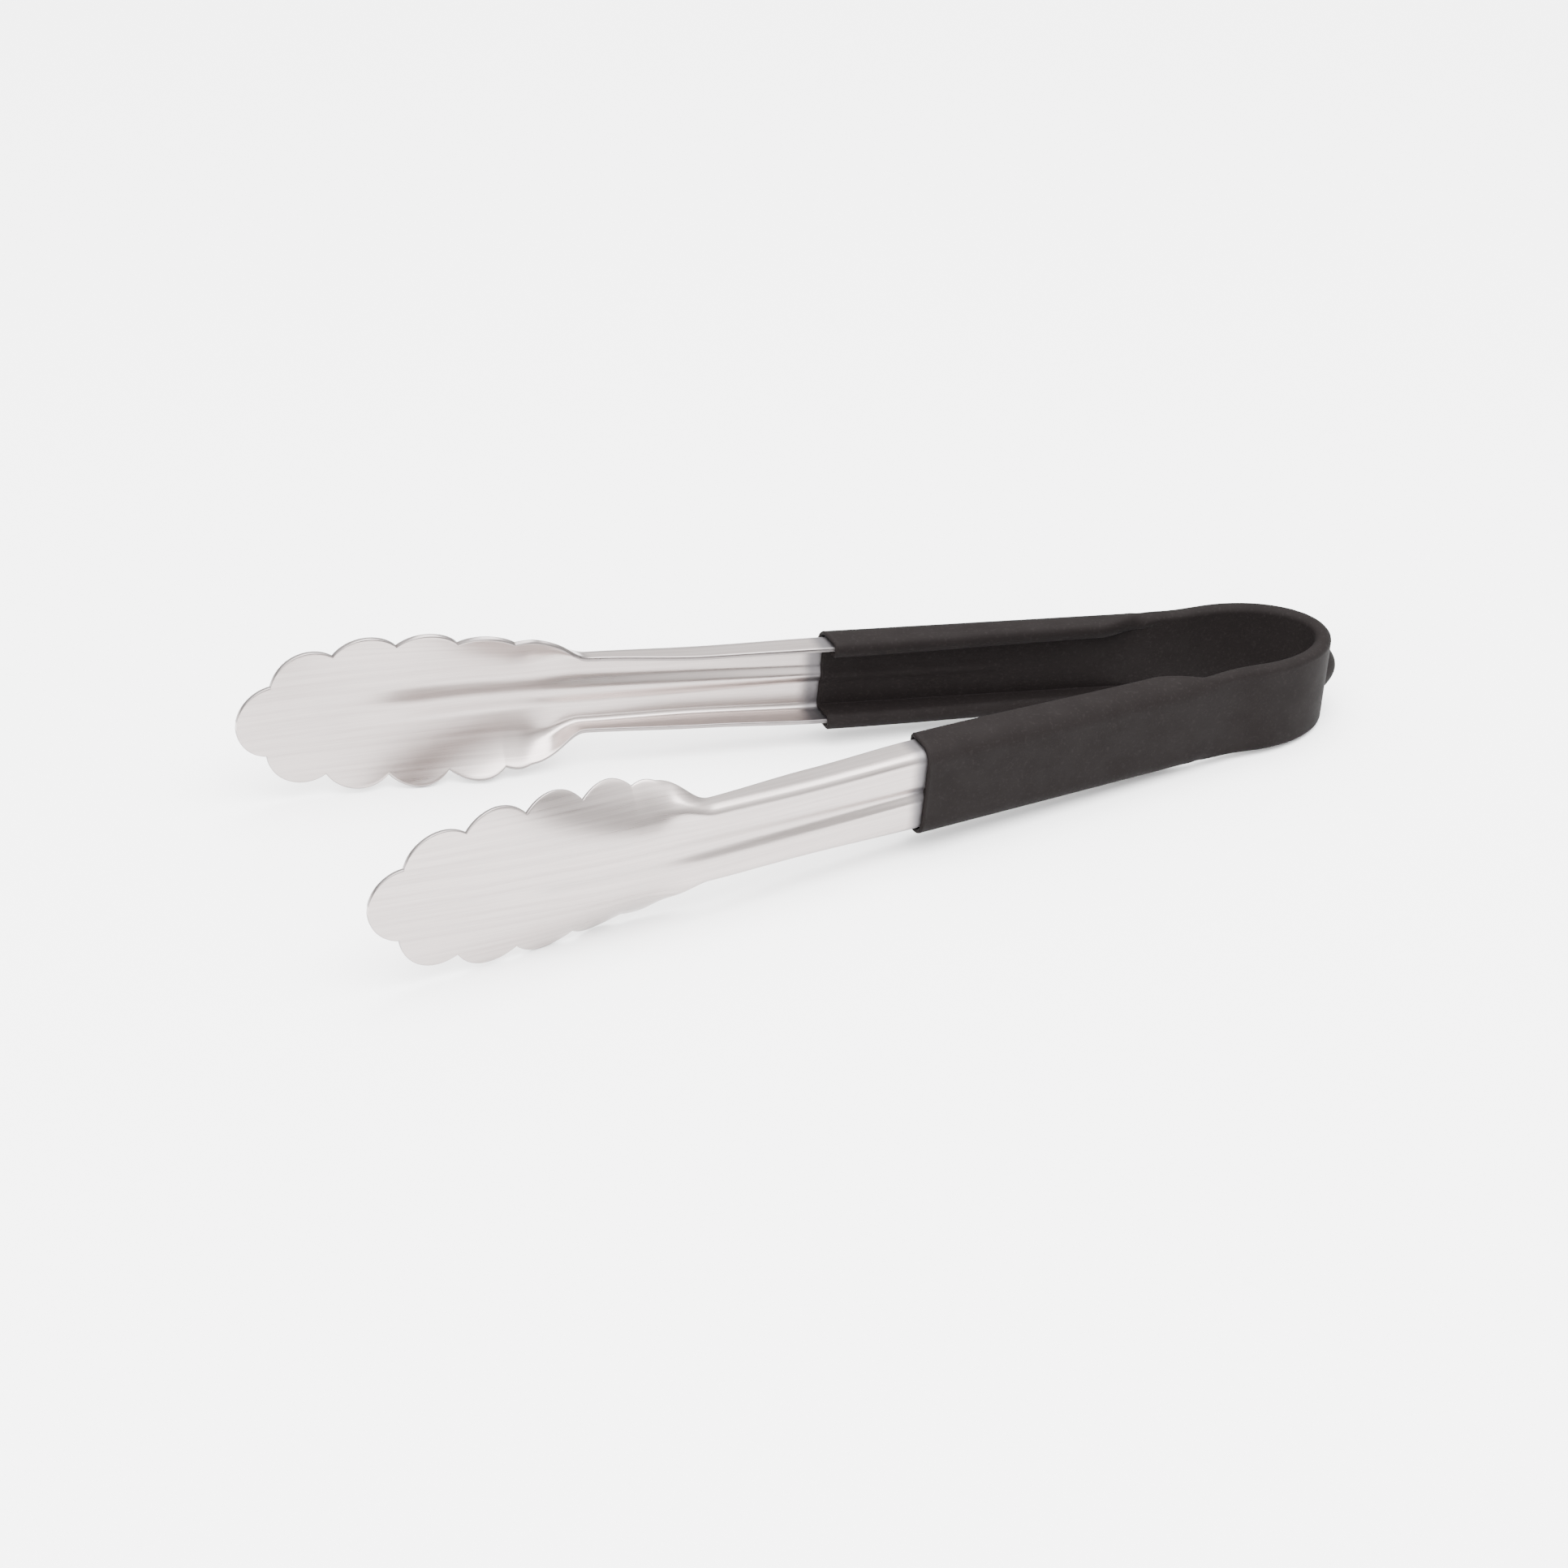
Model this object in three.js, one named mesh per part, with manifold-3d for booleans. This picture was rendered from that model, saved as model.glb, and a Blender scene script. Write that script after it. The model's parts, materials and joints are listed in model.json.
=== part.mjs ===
// Spring loaded kitchen tongs: one strip of stainless steel, folded into two channel arms with
// scalloped scoop heads and joined by a flat bow that is the spring, under a dip moulded grip.
// Units are millimetres and +Z is up. The tongs lie on their side: the heads point along -X,
// the bow along +X, and the arms open along Y, mirrored about the plane Y = 0.
import * as THREE from 'three';
import { mergeVertices } from 'three/addons/utils/BufferGeometryUtils.js';
import Module from 'manifold-3d';

// Driving dimensions of the strip
const SHEET = 1.0;
const BEND_RADIUS = 1.9;
const RIB_DEPTH = 1.0;
const RIB_HALF_WIDTHS = { head: 5.0, neck: 3.7, grip: 2.1 };
const RIB_PROFILE = [1, 0.6];

// Half width of the web and depth of the flanges along the arm
const WEB_HALVES = [
  { x: -50, value: 13.2 },
  { x: -42, value: 10.8 },
  { x: -34, value: 9.1 },
  { x: -10, value: 8.8 },
  { x: 17, value: 9.2 },
];
const FLANGE_DEPTHS = [
  { x: -35, value: 4.6 },
  { x: -8, value: 6.3 },
  { x: 17, value: 6.8 },
  { x: 84, value: 5.0 },
];

// The arm in plan: the head is parallel to X, then the arm closes in along a straight line
const HEAD_OFFSET = 37.8;
const HEAD_BEND = { at: -57, slope: 0.1535, softness: 12 };
const SHOULDER = { from: 86, to: 102 };

// The scoop head
const DISH_CURVATURE = 0.047;
const DISH = { flatX: -102, deepX: -51, power: 1.3 };
const TIP_X = -109.6;
const VALLEYS = [
  { x: -102.5, half: 8.2, rise: 3.9 },
  { x: -89.4, half: 14.0, rise: 3.2 },
  { x: -76.0, half: 15.3, rise: 2.9 },
  { x: -63.0, half: 15.1, rise: 2.1 },
  { x: -50.8, half: 14.8, rise: 0.5 },
];
const LAST_SCALLOP_X = -45;
const FOLD = { from: -48, to: -33 };

// The shoulder, where the flanges run out and the sheet flattens into the bow
const RUN_OUT = { from: 78, to: 90 };
const UNFOLD = { from: 84, to: 94 };
const WAIST_HALF = 8.7;

// The bow: half an ellipse, with a drip nub on the crown of its coat
const BOW_START_X = 104;
const BOW_LENGTH = 20.4;
const BOW_HALF_WIDTH = 13.55;
const BOW_STRIP_HALF = 9.0;
const NUB = { height: 3.4, base: 1.0, halfWidth: 3.8, halfHeight: 4.6 };

// The grip coat
const COAT = 1.25;
const GAP = 0.3;
const SPLIT_GAP = 0.3;
const MOUTH_X = 17.6;
const MOUTH_REACH = 14;

// Mesh fineness
const STEPS_PER_SCALLOP = 4;
const BOW_STEPS = 12;
const GRIP_STATIONS = [
  23, 31, 42, 54, 58, 62, 70, 77, 80, 82.5, 84.5, 86.5, 88.5, 90.5, 92.5, 95, 98.5, BOW_START_X - SPLIT_GAP / 2,
];

const clamp01 = (value) => Math.min(1, Math.max(0, value));
const mix = (a, b, t) => a + (b - a) * t;
const ramp = (from, to, x) => THREE.MathUtils.smoothstep(x, from, to);

/** Value of a row of knots at station x, eased from one knot to the next. */
function along(knots, x) {
  let value = knots[0].value;
  for (let i = 0; i + 1 < knots.length; i += 1) {
    value += (knots[i + 1].value - knots[i].value) * ramp(knots[i].x, knots[i + 1].x, x);
  }
  return value;
}

/** How far the arm has closed in at station x: zero over the head, then a straight slope. */
function closedIn(x) {
  const past = x - HEAD_BEND.at;
  return (HEAD_BEND.slope * (past + Math.hypot(past, HEAD_BEND.softness))) / 2;
}

/** Half width of the head's outline between two valleys: a circular arc that bulges by `rise`. */
function scallop(from, to, rise, x) {
  const chord = Math.hypot(to.x - from.x, to.half - from.half);
  const radius = (chord * chord) / (8 * rise) + rise / 2;
  const slope = (to.half - from.half) / (to.x - from.x);
  const level = 1 / Math.hypot(1, slope);
  const middle = { x: (from.x + to.x) / 2, half: (from.half + to.half) / 2 };
  const sink = radius - rise;
  const centre = {
    x: middle.x + slope * level * sink,
    half: middle.half - level * sink,
  };
  return centre.half + Math.sqrt(Math.max(0, radius * radius - (x - centre.x) ** 2));
}

/** Half width of the head's outline at station x, from the tip to the neck. */
function headHalf(x) {
  const first = VALLEYS[0];
  if (x < first.x) {
    const reach = first.x - TIP_X;
    const radius = (first.half ** 2 + reach ** 2) / (2 * reach);
    return Math.sqrt(Math.max(0, radius ** 2 - (x - TIP_X - radius) ** 2));
  }
  for (let i = 0; i + 1 < VALLEYS.length; i += 1) {
    if (x <= VALLEYS[i + 1].x) return scallop(VALLEYS[i], VALLEYS[i + 1], VALLEYS[i].rise, x);
  }
  const last = VALLEYS[VALLEYS.length - 1];
  const part = clamp01((x - last.x) / (LAST_SCALLOP_X - last.x));
  return last.half + last.rise * Math.sin(Math.PI * part);
}

/** Distance of the strip's middle surface from the plane Y = 0 at station x. */
function planOffset(x) {
  return mix(HEAD_OFFSET - closedIn(x), BOW_HALF_WIDTH, ramp(SHOULDER.from, SHOULDER.to, x));
}

/** Place on the arm's plan line and the outward normal there. */
function armStation(x) {
  const step = 0.01;
  const slope = (planOffset(x + step) - planOffset(x - step)) / (2 * step);
  const length = Math.hypot(1, slope);
  return { point: [x, planOffset(x)], normal: [-slope / length, 1 / length] };
}

/** Place on the bow's half ellipse and the outward normal there; turn runs from 90 to -90 degrees. */
function bowStation(turn) {
  const point = [BOW_START_X + BOW_LENGTH * Math.cos(turn), BOW_HALF_WIDTH * Math.sin(turn)];
  const across = [Math.cos(turn) / BOW_LENGTH, Math.sin(turn) / BOW_HALF_WIDTH];
  const length = Math.hypot(...across);
  return { point, normal: [across[0] / length, across[1] / length] };
}

/** Half of the rib's width at station x. */
function ribHalf(x) {
  if (x < -30) return mix(RIB_HALF_WIDTHS.head, RIB_HALF_WIDTHS.neck, clamp01((x + 80) / 50));
  return mix(RIB_HALF_WIDTHS.neck, RIB_HALF_WIDTHS.grip, clamp01((x + 30) / 48));
}

/** Depth of the rib at station x: it runs out in the middle of the head and under the grip. */
function ribDepth(x) {
  return RIB_DEPTH * ramp(-88, -68, x) * (1 - ramp(54, 62, x));
}

/** Cross curvature of the scoop at station x: flat at the tip, deepest at the neck. */
function dishCurvature(x) {
  const part = clamp01((x - DISH.flatX) / (DISH.deepX - DISH.flatX));
  return DISH_CURVATURE * Math.max(0.02, part ** DISH.power);
}

/** Half width of the developed sheet at station x, from the scalloped head to the bow. */
function developedHalf(x, channelHalf) {
  const curvature = dishCurvature(x);
  const head = Math.asin(headHalf(x) * curvature) / curvature;
  const arm = mix(head, channelHalf, ramp(LAST_SCALLOP_X, FOLD.to, x));
  const strip = mix(WAIST_HALF, BOW_STRIP_HALF, ramp(RUN_OUT.to, BOW_START_X, x));
  return mix(arm, strip, ramp(RUN_OUT.from, RUN_OUT.to, x));
}

/**
 * Half section of the strip at station x: points with z across, d inwards from the outer plan line
 * and the direction of the surface, found by walking over the developed width of the sheet.
 * lift is how far each point is raised inwards by the rib.
 */
function halfSection(x) {
  const flat = along(WEB_HALVES, x) - BEND_RADIUS - SHEET / 2;
  const bend = (Math.PI / 2) * BEND_RADIUS;
  const tail = along(FLANGE_DEPTHS, x) - BEND_RADIUS - SHEET / 2;
  const edge = developedHalf(x, flat + bend + tail);
  const rib = Math.min(ribHalf(x), 0.45 * edge);
  const lines = [flat, flat + bend / 2, flat + bend, flat + bend + tail / 2];
  const shares = [0.6, 0.7, 0.8, 0.9];
  const limits = [0.8, 0.88, 0.94, 0.97];
  const channel = ramp(-75, -60, x);
  const crease = lines.map((line, i) => {
    const inHead = mix(rib, edge, shares[i] * 2 - 1);
    return mix(inHead, Math.min(line, limits[i] * edge), channel);
  });
  const marks = [0, 0.5 * rib, rib, (rib + crease[0]) / 2, ...crease, edge];
  const folded = ramp(FOLD.from, FOLD.to, x) * (1 - ramp(UNFOLD.from, UNFOLD.to, x));
  const dish = dishCurvature(x) * (1 - ramp(-48, -35, x));
  const points = [];
  let z = 0;
  let d = 0;
  let angle = 0;
  marks.forEach((mark, i) => {
    const run = i > 0 ? mark - marks[i - 1] : 0;
    const inBend = i === 5 || i === 6;
    const turn = run * dish + (inBend ? (folded * Math.PI) / 4 : 0);
    z += run * Math.cos(angle + turn / 2);
    d += run * Math.sin(angle + turn / 2);
    angle += turn;
    points.push({ z, d, angle, lift: (RIB_PROFILE[i] ?? 0) * ribDepth(x) });
  });
  return points;
}

/**
 * Closed ring of section points at a distance from the middle surface, round the free edges.
 * The outer face of a coat bridges the rib's groove, so it can leave the rib out.
 */
function ringOf(half, reach, edgeReach, bridged = false) {
  const point = (p, side, sign) => {
    const lift = bridged && side > 0 ? 0 : p.lift;
    return [sign * (p.z + side * reach * Math.sin(p.angle)), p.d + lift - side * reach * Math.cos(p.angle)];
  };
  const tip = half[half.length - 1];
  const end = (sign) => {
    const z = tip.z + edgeReach * Math.cos(tip.angle);
    return [sign * z, tip.d + edgeReach * Math.sin(tip.angle)];
  };
  const back = half.slice(1).reverse();
  const outer = [...back.map((p) => point(p, 1, -1)), ...half.map((p) => point(p, 1, 1))];
  const inner = [...back.map((p) => point(p, -1, 1)), ...half.map((p) => point(p, -1, -1))];
  return edgeReach > 0 ? [...outer, end(1), ...inner, end(-1)] : [...outer, ...inner];
}

/**
 * Ring placed in space at a station of the plan line. It stands square to the line; with square at 0
 * its points slide along the line until they all have the station's x.
 */
function placeRing(ring, station, square = 1) {
  const [nx, ny] = station.normal;
  const slide = square < 1 ? ((1 - square) * nx) / ny : 0;
  return ring.map(([z, d]) => [
    station.point[0] - (nx - slide * ny) * d,
    station.point[1] - (ny + slide * nx) * d,
    z,
  ]);
}

/** Closed solid through a row of equal rings; with cavities, a tube open at both ends. */
function loft(rings, cavities = null) {
  const positions = [];
  const faces = [];
  const count = rings[0].length;
  const shell = (list, start, flip) => {
    for (let i = 0; i + 1 < list.length; i += 1) {
      for (let j = 0; j < count; j += 1) {
        const a = start + i * count + j;
        const b = start + i * count + ((j + 1) % count);
        const quad = [a, b, b + count, a, b + count, a + count];
        faces.push(...(flip ? quad.reverse() : quad));
      }
    }
  };
  rings.forEach((ring) => ring.forEach((p) => positions.push(...p)));
  shell(rings, 0, false);
  const lastRing = (rings.length - 1) * count;
  if (cavities) {
    const inside = rings.length * count;
    cavities.forEach((ring) => ring.forEach((p) => positions.push(...p)));
    shell(cavities, inside, true);
    for (let j = 0; j < count; j += 1) {
      const k = (j + 1) % count;
      faces.push(j, inside + j, inside + k, j, inside + k, k);
      const [a, b, c, d] = [lastRing + j, lastRing + k, inside + lastRing + k, inside + lastRing + j];
      faces.push(a, c, d, a, b, c);
    }
  } else {
    // A sheet's section is capped by ladders between its outer and inner faces
    const half = count / 2;
    for (let j = 0; j + 1 < half; j += 1) {
      const across = count - 1 - j;
      faces.push(j, across, across - 1, j, across - 1, j + 1);
      const [a, b, c, d] = [lastRing + j, lastRing + j + 1, lastRing + across - 1, lastRing + across];
      faces.push(a, c, d, a, b, c);
    }
  }
  const geometry = new THREE.BufferGeometry();
  geometry.setAttribute('position', new THREE.Float32BufferAttribute(positions, 3));
  geometry.setIndex(faces);
  return geometry;
}

/** Mirror a solid to the other side of the plane Y = 0 and keep its faces pointing out. */
function mirrored(geometry) {
  const copy = geometry.clone();
  copy.scale(1, -1, 1);
  const index = copy.getIndex();
  for (let i = 0; i < index.count; i += 3) {
    const keep = index.getX(i);
    index.setX(i, index.getX(i + 1));
    index.setX(i + 1, keep);
  }
  return copy;
}

/** Stations of the steel arm: round the tip, over each scallop, down the neck and to the bow. */
function armStations() {
  const stations = [];
  const reach = VALLEYS[0].x - TIP_X;
  [0.01, 0.06, 0.18, 0.38, 0.66].forEach((part) => stations.push(TIP_X + part * reach));
  for (let i = 0; i + 1 < VALLEYS.length; i += 1) {
    for (let j = 0; j < STEPS_PER_SCALLOP; j += 1) {
      const part = 0.5 - 0.5 * Math.cos((Math.PI * j) / STEPS_PER_SCALLOP);
      stations.push(mix(VALLEYS[i].x, VALLEYS[i + 1].x, part));
    }
  }
  stations.push(VALLEYS[VALLEYS.length - 1].x, -48, -45.5, -43, -41, -39, -37, -35, -33, -27, -18, -10, 4);
  stations.push(MOUTH_X, ...GRIP_STATIONS);
  return stations;
}

function armSolid() {
  return loft(armStations().map((x) => placeRing(ringOf(halfSection(x), SHEET / 2, 0), armStation(x))));
}

/**
 * Outer ring and cavity ring of the coat round one section of the strip. The mouth is level with
 * the dip, at one x all round; the rings turn square to the arm within a short reach.
 */
function coatRings(half, station) {
  const cavity = SHEET / 2 + GAP;
  const skin = SHEET / 2 + COAT;
  const square = ramp(MOUTH_X, MOUTH_X + MOUTH_REACH, station.point[0]);
  return {
    outer: placeRing(ringOf(half, skin, COAT, true), station, square),
    cavity: placeRing(ringOf(half, cavity, GAP), station, square),
  };
}

function gripSolid() {
  const stations = [MOUTH_X, ...GRIP_STATIONS];
  const rings = stations.map((x) => coatRings(halfSection(x), armStation(x)));
  return loft(rings.map((r) => r.outer), rings.map((r) => r.cavity));
}

/** Turns along the bow from the far leg to the near leg, with a small gap to each arm. */
function bowTurns() {
  const gapTurn = Math.asin(SPLIT_GAP / 2 / BOW_LENGTH);
  const first = Math.PI / 2 - gapTurn;
  return Array.from({ length: BOW_STEPS + 1 }, (_, i) => mix(first, -first, i / BOW_STEPS));
}

function bowStripSolid() {
  const ring = ringOf(halfSection(BOW_START_X), SHEET / 2, 0);
  return loft(bowTurns().map((turn) => placeRing(ring, bowStation(turn))));
}

/** Dome of the drip nub, standing on the crown of the bow's coat. */
function nubSolid() {
  const rise = NUB.height + NUB.base;
  const profile = [new THREE.Vector2(0, 0)];
  for (let i = 0; i <= 5; i += 1) {
    const turn = (Math.PI / 2) * (i / 5);
    profile.push(new THREE.Vector2(i === 5 ? 0 : Math.cos(turn), rise * Math.sin(turn)));
  }
  const dome = new THREE.LatheGeometry(profile, 16);
  dome.scale(NUB.halfHeight, 1, NUB.halfWidth);
  dome.rotateZ(-Math.PI / 2);
  const crown = BOW_START_X + BOW_LENGTH + SHEET / 2 + COAT;
  dome.translate(crown - NUB.base, 0, 0);
  return dome;
}

const wasm = await Module();
wasm.setup();

function toManifold(geometry) {
  const plain = geometry.clone();
  plain.deleteAttribute('normal');
  plain.deleteAttribute('uv');
  const merged = mergeVertices(plain, 1e-5);
  return new wasm.Manifold(new wasm.Mesh({
    numProp: 3,
    vertProperties: new Float32Array(merged.attributes.position.array),
    triVerts: new Uint32Array(merged.index.array),
  }));
}

function fromManifold(solid) {
  const mesh = solid.getMesh();
  const geometry = new THREE.BufferGeometry();
  geometry.setAttribute('position', new THREE.BufferAttribute(mesh.vertProperties, 3));
  geometry.setIndex(new THREE.BufferAttribute(mesh.triVerts, 1));
  return geometry;
}

function bowCoatSolid() {
  const rings = bowTurns().map((turn) => coatRings(halfSection(BOW_START_X), bowStation(turn)));
  const sleeve = loft(rings.map((r) => r.outer), rings.map((r) => r.cavity));
  return fromManifold(toManifold(sleeve).add(toManifold(nubSolid())));
}

const steel = new THREE.MeshStandardMaterial({ color: 0xc9c6c3, roughness: 0.36, metalness: 1.0 });
const rubber = new THREE.MeshStandardMaterial({ color: 0x3a3634, roughness: 0.78, metalness: 0.0 });

function part(name, geometry, material) {
  const mesh = new THREE.Mesh(geometry, material);
  mesh.name = name;
  geometry.computeVertexNormals();
  return mesh;
}

const tongs = new THREE.Group();
const arm = armSolid();
const grip = gripSolid();
tongs.add(
  part('far_arm_steel', arm, steel),
  part('near_arm_steel', mirrored(arm), steel),
  part('bow_spring', bowStripSolid(), steel),
  part('far_grip', grip, rubber),
  part('near_grip', mirrored(grip), rubber),
  part('bow_grip', bowCoatSolid(), rubber),
);

// The heads are wider than the bow, so the tongs lie with the bow end lower, on the lowest
// scallop of each head and the bow's crown. The origin is the middle of the footprint.
const crown = { x: BOW_START_X + BOW_LENGTH + SHEET / 2 + COAT, z: -BOW_STRIP_HALF - COAT };
const armPoints = arm.getAttribute('position');
let lean = 0;
for (let i = 0; i < armPoints.count; i += 1) {
  lean = Math.max(lean, Math.atan2(crown.z - armPoints.getZ(i), crown.x - armPoints.getX(i)));
}
tongs.rotation.y = lean;
tongs.updateMatrixWorld(true);
const box = new THREE.Box3().setFromObject(tongs, true);
const middle = box.getCenter(new THREE.Vector3());
tongs.position.set(-middle.x, -middle.y, -box.min.z);

const root = new THREE.Group();
root.add(tongs);
export default root;
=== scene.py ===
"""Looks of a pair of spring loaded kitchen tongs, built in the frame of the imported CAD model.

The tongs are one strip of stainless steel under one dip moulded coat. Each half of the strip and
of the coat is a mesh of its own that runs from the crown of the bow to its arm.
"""
import json
import logging
import math
from dataclasses import dataclass, field
from enum import Enum

import bpy
from mathutils import Matrix, Vector


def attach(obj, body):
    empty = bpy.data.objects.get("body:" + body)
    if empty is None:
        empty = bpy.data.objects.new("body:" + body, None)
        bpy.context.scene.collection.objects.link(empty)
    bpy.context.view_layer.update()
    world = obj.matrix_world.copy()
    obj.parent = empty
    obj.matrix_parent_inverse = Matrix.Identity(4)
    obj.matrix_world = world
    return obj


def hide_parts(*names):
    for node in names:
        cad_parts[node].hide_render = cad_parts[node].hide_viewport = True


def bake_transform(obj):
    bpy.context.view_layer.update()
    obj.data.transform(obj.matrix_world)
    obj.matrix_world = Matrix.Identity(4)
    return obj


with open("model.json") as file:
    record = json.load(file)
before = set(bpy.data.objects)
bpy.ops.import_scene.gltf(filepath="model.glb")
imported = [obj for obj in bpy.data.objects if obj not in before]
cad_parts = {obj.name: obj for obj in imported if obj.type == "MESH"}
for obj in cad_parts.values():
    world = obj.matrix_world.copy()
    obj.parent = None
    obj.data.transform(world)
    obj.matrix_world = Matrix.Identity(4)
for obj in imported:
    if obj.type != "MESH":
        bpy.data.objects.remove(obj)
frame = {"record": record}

LOG = logging.getLogger("tongs")
MM = 0.001
Point = tuple[float, float, float]
Colour = tuple[float, float, float, float]

MOUTH_X = 17.7
MOUTH_TILT = 0.3
MOUTH_REACH = 14.0
EDGE_PARTS = 8
RIM_BAND = 0.24
SHARP_ANGLE = 38.0


def clamp(value: float) -> float:
    """Limit a value to the range 0 to 1."""
    return min(1.0, max(0.0, value))


def mix(low: float, high: float, part: float) -> float:
    """Blend two values by a part from 0 to 1."""
    return low + (high - low) * part


def ramp(start: float, end: float, value: float) -> float:
    """Smooth step between two places.

    Args:
        start: Where the result is 0.
        end: Where the result is 1.
        value: The place asked for.

    Returns:
        The eased part, from 0 to 1.
    """
    part = clamp((value - start) / (end - start))
    return part * part * (3 - 2 * part)


def knotted(knots: tuple[tuple[float, float], ...], x: float) -> float:
    """Value of a row of knots, eased from one knot to the next.

    Args:
        knots: The (place, value) pairs in order.
        x: The place asked for.

    Returns:
        The value at x.
    """
    value = knots[0][1]
    for (start, before), (end, after) in zip(knots, knots[1:]):
        value += (after - before) * ramp(start, end, x)
    return value


class Side(Enum):
    """The two mirrored halves of the tongs, by the sign of Y."""

    NEAR = -1
    FAR = 1

    @property
    def mouth_x(self) -> float:
        """Where the coat's mouth is on this half, in millimetres; the dip was not quite level."""
        return MOUTH_X + MOUTH_TILT * self.value

    @property
    def body(self) -> str:
        """Name of the arm body that this half's lip is attached to."""
        return f"{self.name.lower()}_arm"

    def named(self, piece: str) -> str:
        """Name of a piece on this half."""
        return f"{self.name.lower()}_{piece}"


@dataclass(frozen=True)
class Valley:
    """A notch between two scallops of the head, in millimetres."""

    x: float
    half: float
    rise: float


@dataclass(frozen=True)
class SectionPoint:
    """A point of the strip's half section on its middle surface, in millimetres."""

    z: float
    depth: float
    angle: float
    lift: float
    run: float


@dataclass(frozen=True)
class Station:
    """A place on the plan line with its outward normal, in millimetres."""

    x: float
    y: float
    nx: float
    ny: float
    travel: float

    def spot(self, z: float, depth: float, level_x: float | None = None) -> Point:
        """Point of a ring that stands square to the line, or level with the dip near level_x.

        Args:
            z: Place across the strip.
            depth: Distance inwards from the line.
            level_x: Where all of a ring has one x; the rings turn square within a short reach.

        Returns:
            The point in the tongs' own millimetres.
        """
        level = 0.0 if level_x is None else 1 - ramp(level_x, level_x + MOUTH_REACH, self.x)
        slide = level * self.nx / self.ny if level else 0.0
        return (
            self.x - (self.nx - slide * self.ny) * depth,
            self.y - (self.ny + slide * self.nx) * depth,
            z,
        )


@dataclass(frozen=True)
class Bend:
    """A soft bend of the arm's plan line, in millimetres."""

    at: float
    slope: float
    softness: float

    def run(self, x: float) -> float:
        """How far the line has moved inwards at x because of this bend."""
        past = x - self.at
        return self.slope * (past + math.hypot(past, self.softness)) / 2


@dataclass(frozen=True)
class Strip:
    """Shape of the steel strip from the head's tip to the crown of the bow, in millimetres."""

    sheet: float = 1.0
    bend_radius: float = 1.9
    rib_depth: float = 1.0
    rib_head: float = 5.0
    rib_neck: float = 3.7
    rib_grip: float = 2.1
    rib_narrows: tuple[float, float, float] = (-80, -30, 18)
    rib_rises: tuple[float, float] = (-88, -68)
    rib_ends: tuple[float, float] = (54, 62)
    rib_limit: float = 0.45
    crease_shares: tuple[float, ...] = (0.6, 0.7, 0.8, 0.9)
    crease_limits: tuple[float, ...] = (0.8, 0.88, 0.94, 0.97)
    creases_settle: tuple[float, float] = (-75, -60)
    web_halves: tuple[tuple[float, float], ...] = (
        (-50, 13.2), (-42, 10.8), (-34, 9.1), (-10, 8.8), (17, 9.2)
    )
    flange_depths: tuple[tuple[float, float], ...] = ((-35, 4.6), (-8, 6.3), (17, 6.8), (84, 5.0))
    head_offset: float = 37.8
    head_bend: Bend = Bend(-57, 0.1535, 12)
    shoulder: tuple[float, float] = (86, 102)
    dish_curvature: float = 0.047
    dish_flat_x: float = -102.0
    dish_deep_x: float = -51.0
    dish_power: float = 1.3
    dish_least: float = 0.02
    dish_ends: tuple[float, float] = (-48, -35)
    tip_x: float = -109.6
    valleys: tuple[Valley, ...] = (
        Valley(-102.5, 8.2, 3.9),
        Valley(-89.4, 14.0, 3.2),
        Valley(-76.0, 15.3, 2.9),
        Valley(-63.0, 15.1, 2.1),
        Valley(-50.8, 14.8, 0.5),
    )
    last_scallop_x: float = -45.0
    fold: tuple[float, float] = (-48, -33)
    run_out: tuple[float, float] = (78, 90)
    unfold: tuple[float, float] = (84, 94)
    waist_half: float = 8.7
    bow_x: float = 104.0
    bow_length: float = 20.4
    bow_half_width: float = 13.55
    bow_strip_half: float = 9.0
    tip_steps: int = 18
    scallop_steps: int = 18
    fine_step: float = 0.7
    coarse_step: float = 2.4
    coarse_reaches: tuple[tuple[float, float], ...] = ((-8, 50), (66, 74))

    def scallop(self, start: Valley, end: Valley, x: float) -> float:
        """Half width on the circular arc between two valleys.

        Args:
            start: The valley nearer to the tip.
            end: The valley nearer to the bow.
            x: Place along the tongs.

        Returns:
            The outline's half width at x.
        """
        chord = math.hypot(end.x - start.x, end.half - start.half)
        radius = chord * chord / (8 * start.rise) + start.rise / 2
        slope = (end.half - start.half) / (end.x - start.x)
        along = 1 / math.hypot(1, slope)
        sink = radius - start.rise
        centre_x = (start.x + end.x) / 2 + slope * along * sink
        centre_half = (start.half + end.half) / 2 - along * sink
        return centre_half + math.sqrt(max(0.0, radius * radius - (x - centre_x) ** 2))

    def head_half(self, x: float) -> float:
        """Half width of the blank's outline at x, from the tip to the neck."""
        first, last = self.valleys[0], self.valleys[-1]
        if x < first.x:
            reach = first.x - self.tip_x
            radius = (first.half ** 2 + reach ** 2) / (2 * reach)
            return math.sqrt(max(0.0, radius ** 2 - (x - self.tip_x - radius) ** 2))
        for start, end in zip(self.valleys, self.valleys[1:]):
            if x <= end.x:
                return self.scallop(start, end, x)
        part = clamp((x - last.x) / (self.last_scallop_x - last.x))
        return last.half + last.rise * math.sin(math.pi * part)

    def plan_offset(self, x: float) -> float:
        """Distance of the middle surface from the plane Y = 0 at x."""
        line = self.head_offset - self.head_bend.run(x)
        return mix(line, self.bow_half_width, ramp(*self.shoulder, x))

    def arm_station(self, x: float) -> Station:
        """Place and normal on the arm's plan line at x."""
        step = 0.01
        slope = (self.plan_offset(x + step) - self.plan_offset(x - step)) / (2 * step)
        length = math.hypot(1, slope)
        return Station(x, self.plan_offset(x), -slope / length, 1 / length, x)

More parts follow.
